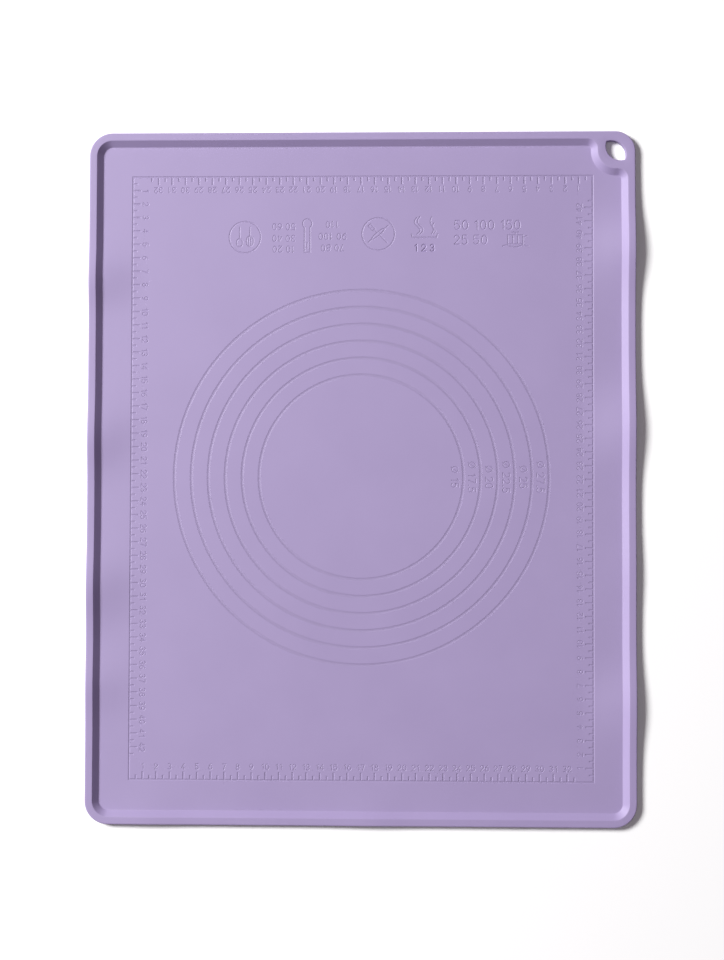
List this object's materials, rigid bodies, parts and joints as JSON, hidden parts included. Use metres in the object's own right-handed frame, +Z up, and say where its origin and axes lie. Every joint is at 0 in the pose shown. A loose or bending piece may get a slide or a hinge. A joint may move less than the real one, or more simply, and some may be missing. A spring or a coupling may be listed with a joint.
{
  "type": "silicone baking mat",
  "caption": "Flat rectangular silicone baking mat with a raised rim, engraved rulers and rings, and a raised corner pad with an eye-shaped hanging hole.",
  "frame": {"origin": "middle of the mat's outline, on its flat underside", "axes": "+X across the mat to the side with the hanging hole, +Y along the mat to the end with the hanging hole, +Z up"},
  "size_m": [0.402, 0.508, 0.005],
  "materials": {
    "lilac_silicone": "matt satin moulded silicone"
  },
  "bodies": {
    "root": {"bed_sheet": "lilac_silicone", "rim_front": "lilac_silicone", "rim_back": "lilac_silicone", "rim_left": "lilac_silicone", "rim_right": "lilac_silicone", "rim_corner_front_left": "lilac_silicone", "rim_corner_front_right": "lilac_silicone", "rim_corner_back_left": "lilac_silicone", "hanging_corner": "lilac_silicone"}
  },
  "joints": []
}
